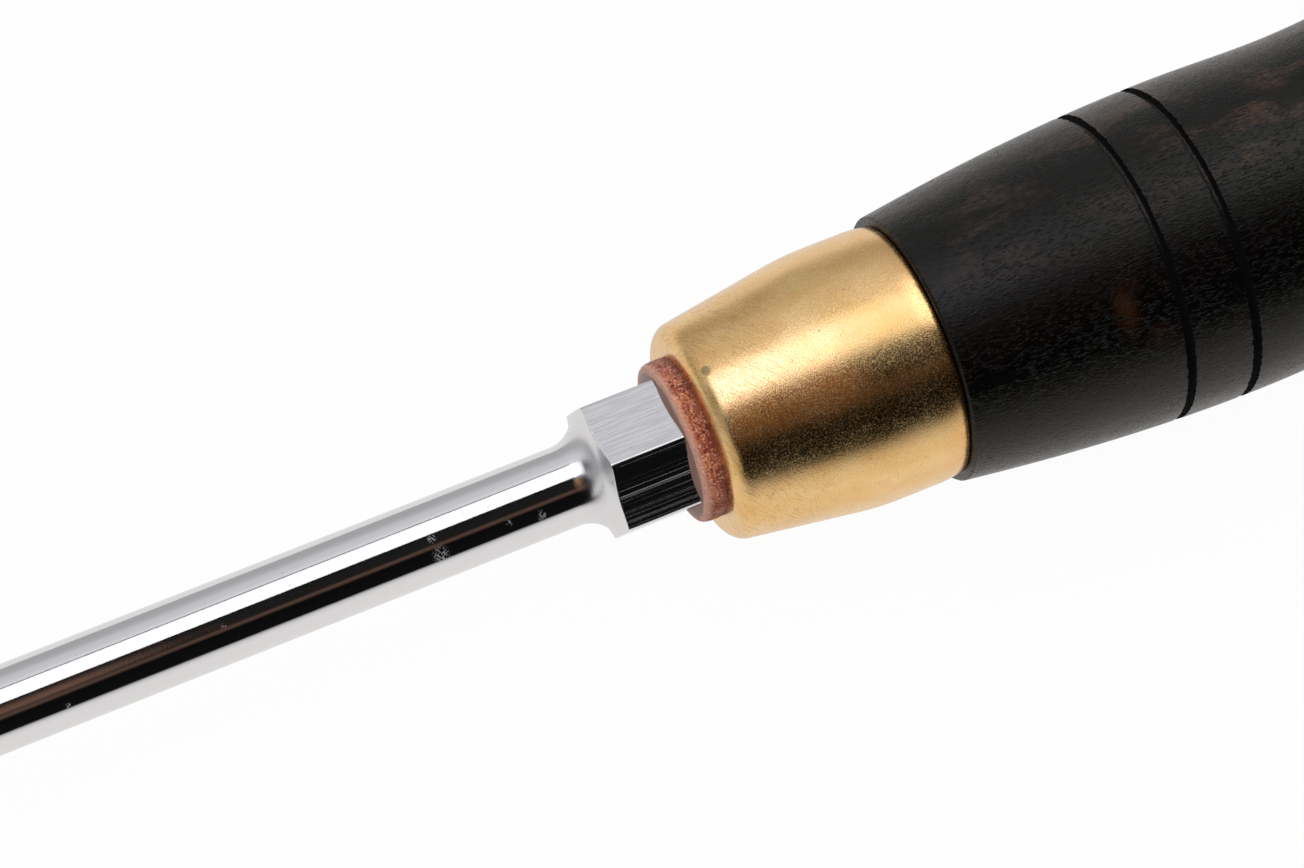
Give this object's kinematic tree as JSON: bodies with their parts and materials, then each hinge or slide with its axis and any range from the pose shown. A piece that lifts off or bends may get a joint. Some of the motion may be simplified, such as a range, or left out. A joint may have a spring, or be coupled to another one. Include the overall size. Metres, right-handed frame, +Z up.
{
  "type": "cross-head screwdriver",
  "caption": "Cross-head screwdriver: chromed round blade with a hexagonal wrench bolster, leather washer, brass ferrule, grooved dark wood handle and riveted steel striking cap.",
  "frame": {"origin": "middle of the blunt end of the cross tip, on the axis of the blade", "axes": "+X runs along the blade's axis from the tip to the butt, +Z points up through one flat of the hexagonal bolster, +Y completes the right-handed set"},
  "size_m": [0.22, 0.0304, 0.0304],
  "materials": {
    "blade_chrome": "polished chrome plate, brushed on the bolster's flats",
    "bolster_leather": "smooth grain on the face, raw fibres on the cut edge",
    "ferrule_brass": "satin, finely grained",
    "handle_wood": "near-black, open pores, satin oil",
    "butt_leather": "smooth grain on the faces, raw fibres on the cut edge",
    "cap_steel": "turned, lightly struck"
  },
  "bodies": {
    "root": {"blade": "blade_chrome", "bolster_washer": "bolster_leather", "ferrule": "ferrule_brass", "handle": "handle_wood", "butt_washer": "butt_leather", "striking_cap": "cap_steel"}
  },
  "joints": []
}
